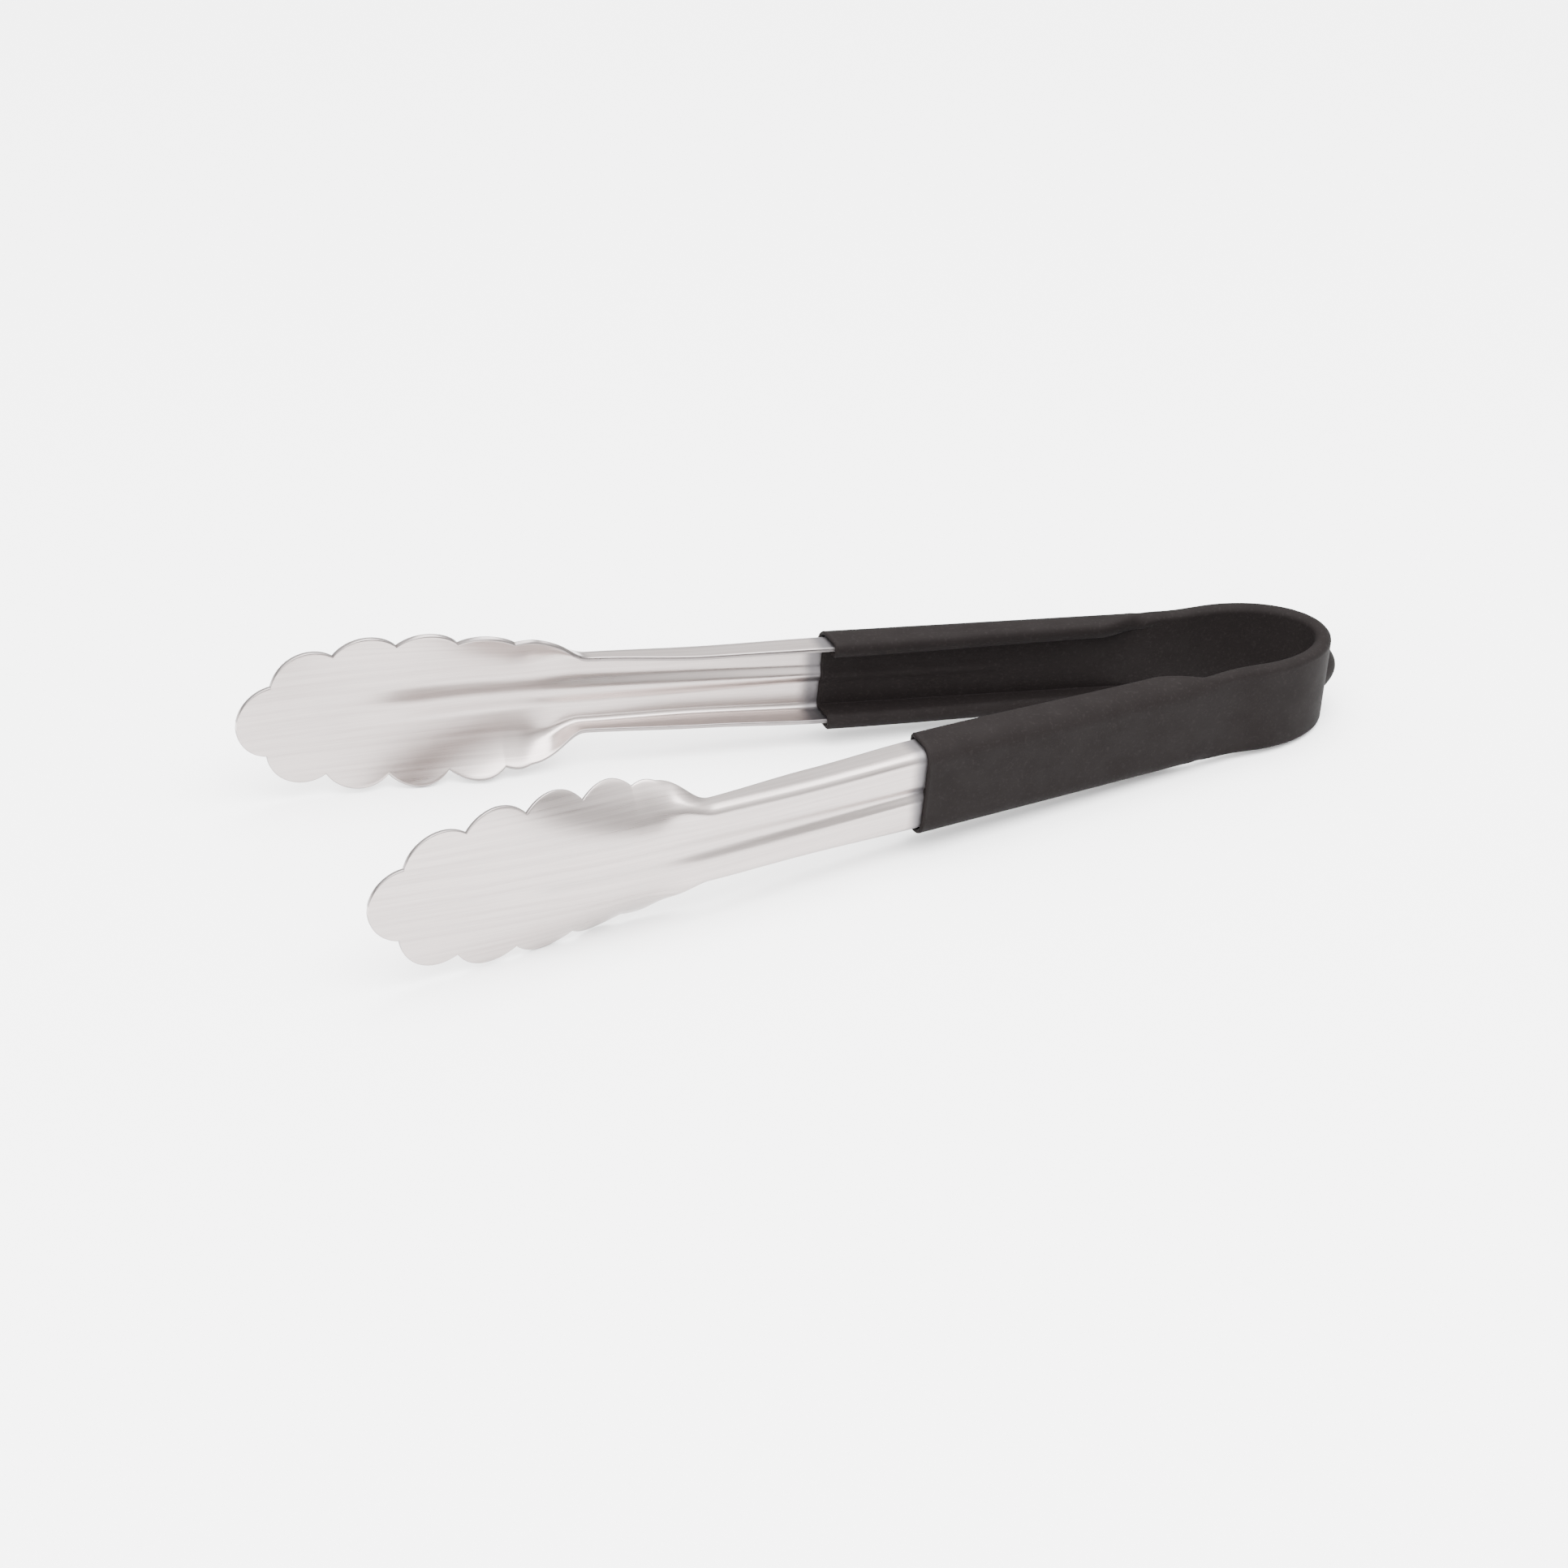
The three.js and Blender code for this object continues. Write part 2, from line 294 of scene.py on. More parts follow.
    def bow_station(self, turn: float) -> Station:
        """Place and normal on the bow's quarter ellipse.

        Args:
            turn: Angle in radians, a right angle at the arm and 0 at the crown.

        Returns:
            The station.
        """
        across_x, across_y = math.cos(turn) / self.bow_length, math.sin(turn) / self.bow_half_width
        length = math.hypot(across_x, across_y)
        mean = (self.bow_length + self.bow_half_width) / 2
        return Station(
            self.bow_x + self.bow_length * math.cos(turn),
            self.bow_half_width * math.sin(turn),
            across_x / length,
            across_y / length,
            self.bow_x + mean * (math.pi / 2 - turn),
        )

    def rib_half(self, x: float) -> float:
        """Half of the rib's width at x."""
        head, neck, grip = self.rib_narrows
        if x < neck:
            return mix(self.rib_head, self.rib_neck, clamp((x - head) / (neck - head)))
        return mix(self.rib_neck, self.rib_grip, clamp((x - neck) / (grip - neck)))

    def rib_height(self, x: float) -> float:
        """How far the rib is pressed inwards at x."""
        return self.rib_depth * ramp(*self.rib_rises, x) * (1 - ramp(*self.rib_ends, x))

    def curvature(self, x: float) -> float:
        """Cross curvature of the scoop at x: flat at the tip, deepest at the neck."""
        part = clamp((x - self.dish_flat_x) / (self.dish_deep_x - self.dish_flat_x))
        return self.dish_curvature * max(self.dish_least, part ** self.dish_power)

    def developed_half(self, x: float, channel_half: float) -> float:
        """Half width of the sheet laid flat, from the scalloped head to the bow.

        Args:
            x: Place along the arm.
            channel_half: Half width of the folded channel, laid flat.

        Returns:
            The half width at x.
        """
        curvature = self.curvature(x)
        head = math.asin(self.head_half(x) * curvature) / curvature
        arm = mix(head, channel_half, ramp(self.last_scallop_x, self.fold[1], x))
        band = mix(self.waist_half, self.bow_strip_half, ramp(self.run_out[1], self.bow_x, x))
        return mix(arm, band, ramp(*self.run_out, x))

    def marks(self, x: float, inset: float) -> list[float]:
        """Distances over the flat sheet from its centre line to the rib, the creases and the edge.

        Args:
            x: Place along the arm.
            inset: How far short of the cut edge the last mark stays.

        Returns:
            The marks in order, from the centre line outwards.
        """
        flat = knotted(self.web_halves, x) - self.bend_radius - self.sheet / 2
        bend = math.pi / 2 * self.bend_radius
        tail = knotted(self.flange_depths, x) - self.bend_radius - self.sheet / 2
        edge = self.developed_half(x, flat + bend + tail)
        edge -= min(inset, 0.5 * edge)
        rib = min(self.rib_half(x), self.rib_limit * edge)
        lines = (flat, flat + bend / 2, flat + bend, flat + bend + tail / 2)
        channel = ramp(*self.creases_settle, x)
        creases = []
        for line, share, limit in zip(lines, self.crease_shares, self.crease_limits):
            creases.append(mix(mix(rib, edge, share * 2 - 1), min(line, limit * edge), channel))
        return [0, 0.5 * rib, rib, (rib + creases[0]) / 2, *creases, edge]

    def half_section(
        self, x: float, fineness: tuple[int, ...], inset: float = 0.0
    ) -> list[SectionPoint]:
        """Walk over half of the developed sheet at x.

        Args:
            x: Place along the arm.
            fineness: Steps in the rib's floor, its flank, the web's two stretches, the bend's two
                halves and the flange's two halves.
            inset: How far short of the cut edge the last point stays.

        Returns:
            The points of the middle surface, from the centre line to the free edge.
        """
        marks = self.marks(x, inset)
        folded = ramp(*self.fold, x) * (1 - ramp(*self.unfold, x))
        dish = self.curvature(x) * (1 - ramp(*self.dish_ends, x))
        height = self.rib_height(x)
        z = depth = angle = 0.0
        points = [SectionPoint(0.0, 0.0, 0.0, height, 0.0)]
        for index, steps in enumerate(fineness, start=1):
            run = (marks[index] - marks[index - 1]) / steps
            turn = run * dish + (folded * math.pi / 4 / steps if index in (5, 6) else 0.0)
            for step in range(1, steps + 1):
                z += run * math.cos(angle + turn / 2)
                depth += run * math.sin(angle + turn / 2)
                angle += turn
                reached = marks[index - 1] + run * step
                lift = height * (1 - ramp(0, marks[2], reached))
                points.append(SectionPoint(z, depth, angle, lift, reached))
        return points

    def stations(self, start_x: float) -> list[float]:
        """Places along the arm for the rings of a mesh, close together where the outline turns.

        Args:
            start_x: Where the mesh starts; the tip, or the mouth of the coat.

        Returns:
            The places in order, up to the bow.
        """
        reach = self.valleys[0].x - self.tip_x
        turns = [math.pi / 2 * step / self.tip_steps for step in range(1, self.tip_steps)]
        marks = [self.tip_x + reach * (1 - math.cos(turn)) for turn in turns]
        for start, end in zip(self.valleys, self.valleys[1:]):
            for step in range(self.scallop_steps):
                part = 0.5 - 0.5 * math.cos(math.pi * step / self.scallop_steps)
                marks.append(mix(start.x, end.x, part))
        x = self.valleys[-1].x
        while x < self.bow_x:
            marks.append(x)
            coarse = any(start <= x <= end for start, end in self.coarse_reaches)
            x += self.coarse_step if coarse else self.fine_step
        marks.append(self.bow_x)
        return [start_x] + [mark for mark in marks if mark > start_x + 0.05]


@dataclass(frozen=True)
class Rest:
    """How the tongs lie: they lean about Y and stand on the plane Z = 0 of the CAD frame."""

    hinge_local: Point = (118.0, 8.5, 0.0)

    def matrix(self) -> Matrix:
        """Matrix from the tongs' own millimetres to the CAD frame's metres."""
        joint = next(j for j in frame["record"]["behaviour"]["joints"] if j["name"] == "far_arm_squeeze")
        lean = math.atan2(joint["axis"][0], joint["axis"][2])
        turn = Matrix.Rotation(lean, 4, "Y") @ Matrix.Scale(MM, 4)
        shift = Vector(joint["pos_m"]) - turn @ Vector(self.hinge_local)
        return Matrix.Translation(shift) @ turn


def round_edge(reach: float, beyond: float) -> list[tuple[float, float]]:
    """Full round over the free edge of the strip.

    Args:
        reach: Distance of the coat's face from the middle surface.
        beyond: How far the round stands past the edge.

    Returns:
        The (beyond the edge, offset) pairs from the outer side to the inner side.
    """
    turns = [math.pi * part / EDGE_PARTS for part in range(1, EDGE_PARTS)]
    return [(beyond * math.sin(turn), reach * math.cos(turn)) for turn in turns]


def ring_of(
    half: list[SectionPoint], reach: float, edge: list[tuple[float, float]], bridged: bool
) -> list[Point]:
    """Closed ring round a section at a distance from its middle surface.

    Args:
        half: Half section of the strip.
        reach: Distance of the ring from the middle surface.
        edge: Profile over the free edge, as (beyond the edge, offset) pairs from the outer side.
        bridged: Whether the outer side runs straight over the rib's groove and the inner side
            rounds its ridge off, as a coat does.

    Returns:
        A list of (z, depth, run) for the ring.
    """
    softened = 0.0, 0.55

    def face(p: SectionPoint, side: int, sign: int) -> Point:
        lift = p.lift * softened[side < 0] if bridged else p.lift
        z = p.z + side * reach * math.sin(p.angle)
        return (sign * z, p.depth + lift - side * reach * math.cos(p.angle), sign * p.run)

    tip = half[-1]
    cosine, sine = math.cos(tip.angle), math.sin(tip.angle)

    def over(beyond: float, offset: float, sign: int) -> Point:
        z = tip.z + beyond * cosine + offset * sine
        return (sign * z, tip.depth + beyond * sine - offset * cosine, sign * (tip.run + beyond))

    ring = [face(p, 1, -1) for p in reversed(half[1:])] + [face(p, 1, 1) for p in half]
    ring += [over(b, o, 1) for b, o in edge]
    ring += [face(p, -1, 1) for p in reversed(half[1:])] + [face(p, -1, -1) for p in half]
    ring += [over(b, o, -1) for b, o in reversed(edge)]
    return ring


@dataclass
class Loft:
    """Quads through a row of equal rings, with the run and travel of each point for the UV map."""

    points: list[Point] = field(default_factory=list)
    uvs: list[tuple[float, float]] = field(default_factory=list)
    edges: list[float] = field(default_factory=list)
    faces: list[tuple[int, ...]] = field(default_factory=list)

    def add(
        self, rings: list[list[tuple]], places: list[Station], flip: bool, level_x: float | None = None
    ) -> int:
        """Add one tube of rings.

        Args:
            rings: Rings of (z, depth, run).
            places: The station of each ring.
            flip: Turn the faces round, for a cavity.
            level_x: Where the tube starts with all of a ring at one x, as the coat's mouth does.

        Returns:
            The index of the tube's first point.
        """
        start, count = len(self.points), len(rings[0])
        for ring, place in zip(rings, places):
            widest = max(abs(run) for _, _, run in ring)
            for z, depth, run in ring:
                self.points.append(place.spot(z, depth, level_x))
                self.uvs.append((place.travel * MM, run * MM))
                # the 'rim' mark picks out the sheet's free edge, where the steel material paints shade
                self.edges.append(1.0 if abs(run) > widest - RIM_BAND else 0.0)
        for i in range(len(rings) - 1):
            for j in range(count):
                a, b = start + i * count + j, start + i * count + (j + 1) % count
                quad = (a, b, b + count, a + count)
                self.faces.append(quad[::-1] if flip else quad)
        return start

    def cap(self, start: int, count: int, last: bool) -> None:
        """Close a sheet's end with a ladder of quads between its outer and inner faces.

        Args:
            start: Index of the end ring's first point.
            count: How many points the ring has.
            last: Whether it is the tube's last ring.
        """
        half = count // 2
        for j in range(half - 1):
            across = count - 1 - j
            quad = (start + j, start + across, start + across - 1, start + j + 1)
            self.faces.append(quad[::-1] if last else quad)

    def rim(self, outer: int, inner: int, count: int, last: bool) -> None:
        """Close a tube's end with quads between its outer and cavity rings.

        Args:
            outer: Index of the outer ring's first point.
            inner: Index of the cavity ring's first point.
            count: How many points each ring has.
            last: Whether they are the tube's last rings.
        """
        for j in range(count):
            k = (j + 1) % count
            quad = (outer + j, inner + j, inner + k, outer + k)
            self.faces.append(quad[::-1] if last else quad)

    def mesh(self, name: str, side: Side, placing: Matrix) -> bpy.types.Object:
        """Make the object in the CAD frame, mirrored for the near side.

        Args:
            name: Name of the piece.
            side: Which half it is.
            placing: Matrix from the tongs' own millimetres to the CAD frame.

        Returns:
            The linked object with its UV map.
        """
        sign = side.value
        verts = [placing @ Vector((x, sign * y, z)) for x, y, z in self.points]
        faces = [face if sign > 0 else face[::-1] for face in self.faces]
        data = bpy.data.meshes.new(name)
        data.from_pydata(verts, [], faces)
        layer = data.uv_layers.new(name="strip")
        for loop in data.loops:
            layer.data[loop.index].uv = self.uvs[loop.vertex_index]
        rim = data.attributes.new("rim", "FLOAT", "POINT")
        rim.data.foreach_set("value", self.edges)
        data.shade_smooth()
        data.set_sharp_from_angle(angle=math.radians(SHARP_ANGLE))
        made = bpy.data.objects.new(name, data)
        bpy.context.scene.collection.objects.link(made)
        return made


class Nodes:
    """A short way to add and link nodes in a tree."""

    def __init__(self, tree: bpy.types.NodeTree) -> None:
        """Keep the tree that nodes are added to."""
        self.tree = tree

    def add(self, kind: str, values: dict | None = None, **settings: object) -> bpy.types.Node:
        """Add a node.

        Args:
            kind: The node's type name.
            values: Input sockets by name or index, with the value or the socket to link.
            settings: Properties of the node.

        Returns:
            The new node.
        """
        node = self.tree.nodes.new(kind)
        for key, value in settings.items():
            setattr(node, key, value)
        for key, value in (values or {}).items():
            self.put(node.inputs[key], value)
        return node

    def put(self, socket: bpy.types.NodeSocket, value: object) -> None:
        """Set an input socket, or link an output socket to it."""
        if isinstance(value, bpy.types.NodeSocket):
            self.tree.links.new(value, socket)
        else:
            socket.default_value = value

    def maths(self, operation: str, *values: object, clamped: bool = False) -> bpy.types.NodeSocket:
        """Add a Math node and return its output."""
        inputs = dict(enumerate(values))
        node = self.add("ShaderNodeMath", inputs, operation=operation, use_clamp=clamped)
        return node.outputs[0]

    def span(self, value: object, low: float, high: float, top: float = 1.0) -> bpy.types.NodeSocket:
        """Map a value smoothly from the range low to high onto the range 0 to top."""
        ends = {"Value": value, "From Min": low, "From Max": high, "To Min": 0.0, "To Max": top}
        return self.add("ShaderNodeMapRange", ends, interpolation_type="SMOOTHSTEP").outputs[0]

    def weighed(self, first: object, one: float, second: object, two: float) -> bpy.types.NodeSocket:
        """Add two values, each by its own weight."""
        terms = self.maths("MULTIPLY", first, one), self.maths("MULTIPLY", second, two)
        return self.maths("ADD", *terms)

    def blend(self, part: object, first: object, second: object) -> bpy.types.NodeSocket:
        """Mix two colours by a part and return the result."""
        node = self.add("ShaderNodeMix", data_type="RGBA")
        self.put(node.inputs["Factor"], part)
        self.put(node.inputs[6], first)
        self.put(node.inputs[7], second)
        return node.outputs[2]


@dataclass(frozen=True)
class GrainGroup:
    """Shader group: stretched grain, made of fine lines and longer uneven streaks."""

    name: str = "drawn_grain"

    def tree(self) -> bpy.types.NodeTree:
        """Build the group, or return it if it exists.

        Returns:
            A group that turns a vector into a line height and a streak mask, both 0 to 1.
        """
        if self.name in bpy.data.node_groups:
            return bpy.data.node_groups[self.name]
        tree = bpy.data.node_groups.new(self.name, "ShaderNodeTree")
        tree.interface.new_socket(name="Vector", in_out="INPUT", socket_type="NodeSocketVector")
        for name in ("Along", "Across"):
            tree.interface.new_socket(name=name, in_out="INPUT", socket_type="NodeSocketFloat")
        for name in ("Lines", "Streaks"):
            tree.interface.new_socket(name=name, in_out="OUTPUT", socket_type="NodeSocketFloat")
        nodes = Nodes(tree)
        start = nodes.add("NodeGroupInput")
        end = nodes.add("NodeGroupOutput")
        stretch = {"X": start.outputs["Along"], "Y": start.outputs["Across"]}
        scale = nodes.add("ShaderNodeCombineXYZ", stretch)
        scaled = nodes.add(
            "ShaderNodeVectorMath", {0: start.outputs["Vector"], 1: scale.outputs[0]}, operation="MULTIPLY"
        )
        lines = nodes.add("ShaderNodeTexNoise", {"Vector": scaled.outputs[0], "Scale": 1.0, "Detail": 3.0})
        wide = nodes.add(
            "ShaderNodeVectorMath", {0: scaled.outputs[0], 1: (0.3, 0.12, 1.0)}, operation="MULTIPLY"
        )
        streaks = nodes.add("ShaderNodeTexNoise", {"Vector": wide.outputs[0], "Scale": 1.0, "Detail": 2.0})
        nodes.put(end.inputs["Lines"], nodes.span(lines.outputs["Fac"], 0.25, 0.75))
        nodes.put(end.inputs["Streaks"], nodes.span(streaks.outputs["Fac"], 0.3, 0.7))
        return tree


@dataclass(frozen=True)
class MottleGroup:
    """Shader group: soft clouds with small specks, for uneven colour and sheen."""

    name: str = "soft_mottle"

    def tree(self) -> bpy.types.NodeTree:
        """Build the group, or return it if it exists.

        Returns:
            A group that turns a vector into a cloud mask and a speck mask, both 0 to 1.
        """
        if self.name in bpy.data.node_groups:
            return bpy.data.node_groups[self.name]
        tree = bpy.data.node_groups.new(self.name, "ShaderNodeTree")
        tree.interface.new_socket(name="Vector", in_out="INPUT", socket_type="NodeSocketVector")
        for name in ("Cloud scale", "Speck scale"):
            tree.interface.new_socket(name=name, in_out="INPUT", socket_type="NodeSocketFloat")
        for name in ("Clouds", "Specks"):
            tree.interface.new_socket(name=name, in_out="OUTPUT", socket_type="NodeSocketFloat")
        nodes = Nodes(tree)
        start = nodes.add("NodeGroupInput")
        end = nodes.add("NodeGroupOutput")
        place = start.outputs["Vector"]
        clouds = nodes.add(
            "ShaderNodeTexNoise", {"Vector": place, "Scale": start.outputs["Cloud scale"], "Detail": 4.0}
        )
        specks = nodes.add(
            "ShaderNodeTexNoise", {"Vector": place, "Scale": start.outputs["Speck scale"], "Detail": 2.0}
        )
        nodes.put(end.inputs["Clouds"], nodes.span(clouds.outputs["Fac"], 0.3, 0.7))
        nodes.put(end.inputs["Specks"], nodes.span(specks.outputs["Fac"], 0.56, 0.7))
        return tree


@dataclass(frozen=True)
class BrushedSteel:
    """Stainless sheet, brushed along the arms, with a dull tide line where the coat begins, and painted
    shade that darkens the sheet's free edges.

    The grain scales are in cells per metre, along and across the strip.
    """

    name: str = "brushed_stainless"
    light: Colour = (0.455, 0.408, 0.394, 1.0)
    dark: Colour = (0.345, 0.306, 0.295, 1.0)
    tide: Colour = (0.10, 0.10, 0.11, 1.0)
    # painted shade: the colour that the sheet's free edges are darkened towards
    edge_shade: Colour = (0.14, 0.13, 0.13, 1.0)
    mouth_x: float = 17.8
    tide_width: float = 3.4
    tide_strength: float = 0.8
    grain_along: float = 55.0
    grain_across: float = 7600.0
    cloud_scale: float = 46.0
    # how strongly the painted shade darkens the free edges
    edge_shade_strength: float = 0.75
    sheen: float = 0.25
    groove_depth: float = 0.04
    anisotropy: float = 0.55

    def material(self) -> bpy.types.Material:
        """Build the material.

        Returns:
            The material, which reads the strip's UV map in metres.
        """
        made = bpy.data.materials.new(self.name)
        made.use_nodes = True
        tree = made.node_tree
        tree.nodes.clear()
        nodes = Nodes(tree)
        uv = nodes.add("ShaderNodeUVMap", uv_map="strip").outputs["UV"]
        place = nodes.add("ShaderNodeTexCoord").outputs["Object"]
        grain = nodes.add("ShaderNodeGroup", node_tree=GrainGroup().tree())
        nodes.put(grain.inputs["Vector"], uv)
        nodes.put(grain.inputs["Along"], self.grain_along)
        nodes.put(grain.inputs["Across"], self.grain_across)
        mottle = nodes.add("ShaderNodeGroup", node_tree=MottleGroup().tree())
        nodes.put(mottle.inputs["Vector"], place)
        nodes.put(mottle.inputs["Cloud scale"], self.cloud_scale)
        lines, streaks = grain.outputs["Lines"], grain.outputs["Streaks"]
        clouds = mottle.outputs["Clouds"]
        along = nodes.add("ShaderNodeSeparateXYZ", {0: uv}).outputs[0]
        wobble = nodes.maths("MULTIPLY", clouds, self.tide_width * 0.5 * MM)
        edge = nodes.maths("ADD", along, wobble)
        tide_start = (self.mouth_x - self.tide_width) * MM
        tide = nodes.span(edge, tide_start, self.mouth_x * MM, self.tide_strength)
        tone = nodes.weighed(lines, 0.45, streaks, 0.55)
        colour = nodes.blend(tone, self.dark, self.light)
        colour = nodes.blend(tide, colour, self.tide)
        # painted shade: points marked 'rim' along the free edges are darkened towards the edge shade
        # colour
        rim = nodes.add("ShaderNodeAttribute", attribute_name="rim").outputs["Fac"]
        colour = nodes.blend(nodes.maths("MULTIPLY", rim, self.edge_shade_strength), colour, self.edge_shade)
        rough = nodes.maths("ADD", self.sheen, nodes.maths("MULTIPLY", tone, 0.08))
        rough = nodes.maths("ADD", rough, nodes.maths("MULTIPLY", clouds, 0.05))
        rough = nodes.maths("ADD", rough, nodes.maths("MULTIPLY", tide, 0.3), clamped=True)
        height = nodes.weighed(lines, 0.7, streaks, 0.3)
        relief = {"Strength": 0.10, "Distance": self.groove_depth * MM, "Height": height}
        bump = nodes.add("ShaderNodeBump", relief)
        tangent = nodes.add("ShaderNodeTangent", direction_type="UV_MAP", uv_map="strip")
        shader = nodes.add("ShaderNodeBsdfPrincipled", {"Metallic": 1.0, "Anisotropic": self.anisotropy})
        nodes.put(shader.inputs["Base Color"], colour)
        nodes.put(shader.inputs["Roughness"], rough)
        nodes.put(shader.inputs["Normal"], bump.outputs[0])
        nodes.put(shader.inputs["Tangent"], tangent.outputs[0])
        nodes.add("ShaderNodeOutputMaterial", {"Surface": shader.outputs[0]})
        return made


@dataclass(frozen=True)
class DippedVinyl:
    """Matte charcoal vinyl with a fine uneven skin and slightly polished high spots.

    The scales are in cells per metre.
    """

    name: str = "dipped_vinyl"
    base: Colour = (0.0050, 0.0038, 0.0037, 1.0)
    worn: Colour = (0.0062, 0.0048, 0.0047, 1.0)
    dust: Colour = (0.0125, 0.0102, 0.0102, 1.0)
    cloud_scale: float = 160.0
    speck_scale: float = 1500.0
    pore_scale: float = 2600.0
    pore_depth: float = 0.12
    worn_from: float = 0.52
    worn_to: float = 0.62
    roughness: float = 0.80
    index: float = 1.17

    def material(self) -> bpy.types.Material:
        """Build the material.

        Returns:
            The material, which reads Object coordinates.
        """
        made = bpy.data.materials.new(self.name)
        made.use_nodes = True
        tree = made.node_tree
        tree.nodes.clear()
        nodes = Nodes(tree)
        place = nodes.add("ShaderNodeTexCoord").outputs["Object"]
        mottle = nodes.add("ShaderNodeGroup", node_tree=MottleGroup().tree())
        nodes.put(mottle.inputs["Vector"], place)
        nodes.put(mottle.inputs["Cloud scale"], self.cloud_scale)
        nodes.put(mottle.inputs["Speck scale"], self.speck_scale)
        clouds, specks = mottle.outputs["Clouds"], mottle.outputs["Specks"]
        wear = nodes.add("ShaderNodeNewGeometry").outputs["Pointiness"]
        rubbed = nodes.span(wear, self.worn_from, self.worn_to, 0.7)
        colour = nodes.blend(nodes.maths("MULTIPLY", clouds, 0.5), self.base, self.worn)
        colour = nodes.blend(nodes.maths("MULTIPLY", specks, 0.35), colour, self.dust)
        colour = nodes.blend(rubbed, colour, self.worn)
        rough = nodes.maths("SUBTRACT", self.roughness, nodes.maths("MULTIPLY", clouds, 0.05))
        rough = nodes.maths("SUBTRACT", rough, nodes.maths("MULTIPLY", rubbed, 0.12))
        skin = {"Vector": place, "Scale": self.pore_scale, "Detail": 3.0}
        pores = nodes.add("ShaderNodeTexNoise", skin)
        height = nodes.weighed(clouds, 0.2, pores.outputs["Fac"], 0.5)
        relief = {"Strength": 0.35, "Distance": self.pore_depth * MM, "Height": height}
        bump = nodes.add("ShaderNodeBump", relief)
        shader = nodes.add("ShaderNodeBsdfPrincipled", {"IOR": self.index})
        nodes.put(shader.inputs["Base Color"], colour)
        nodes.put(shader.inputs["Roughness"], rough)
        nodes.put(shader.inputs["Normal"], bump.outputs[0])
        nodes.add("ShaderNodeOutputMaterial", {"Surface": shader.outputs[0]})
        return made


@dataclass
class SteelStrip:
    """One half of the steel strip, from the tip of a head to the crown of the bow."""

    strip: Strip
    placing: Matrix
    material: bpy.types.Material
    fineness: tuple[int, ...] = (6, 6, 7, 8, 5, 5, 5, 5)
    edge_radius: float = 0.28
    edge_turns: tuple[float, ...] = (0.5, 1.0, math.pi / 2)
    tip_cut: float = 0.08
    bow_steps: int = 40

    def edge_profile(self) -> list[tuple[float, float]]:
        """Blunt, slightly rounded free edge of the sheet."""
        radius, half = self.edge_radius, self.strip.sheet / 2
        arc = []
        for turn in self.edge_turns:
            arc.append((radius * math.sin(turn), half - radius + radius * math.cos(turn)))
        return arc + [(beyond, -offset) for beyond, offset in reversed(arc)]

    def build(self, side: Side) -> bpy.types.Object:
        """Make one half, from the tip of its head to the crown of the bow.

        Args:
            side: Which half to make.

        Returns:
            The finished piece.
        """
        strip, edge = self.strip, self.edge_profile()
        places = [strip.arm_station(x) for x in strip.stations(strip.tip_x + self.tip_cut)]
        halves = [strip.half_section(place.x, self.fineness, self.edge_radius) for place in places]
        flat = strip.half_section(strip.bow_x, self.fineness, self.edge_radius)
        for step in range(1, self.bow_steps + 1):
            places.append(strip.bow_station(math.pi / 2 * (1 - step / self.bow_steps)))
            halves.append(flat)
        rings = [ring_of(half, strip.sheet / 2, edge, False) for half in halves]
        loft = Loft()
        start = loft.add(rings, places, flip=False)
        count = len(rings[0])
        loft.cap(start, count, last=False)
        loft.cap(start + (len(rings) - 1) * count, count, last=True)
        piece = loft.mesh(side.named("strip"), side, self.placing)
        piece.data.materials.append(self.material)
        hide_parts(side.named("arm_steel"), "bow_spring")
        bend_to_arm(piece)
        LOG.info("%s: %d faces", piece.name, len(piece.data.polygons))
        return piece


def bend_to_arm(piece: bpy.types.Object) -> None:
    """Bake a piece's placing into its mesh and leave the object at the origin.

    Args:
        piece: The piece whose placing is baked.
    """
    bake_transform(piece)


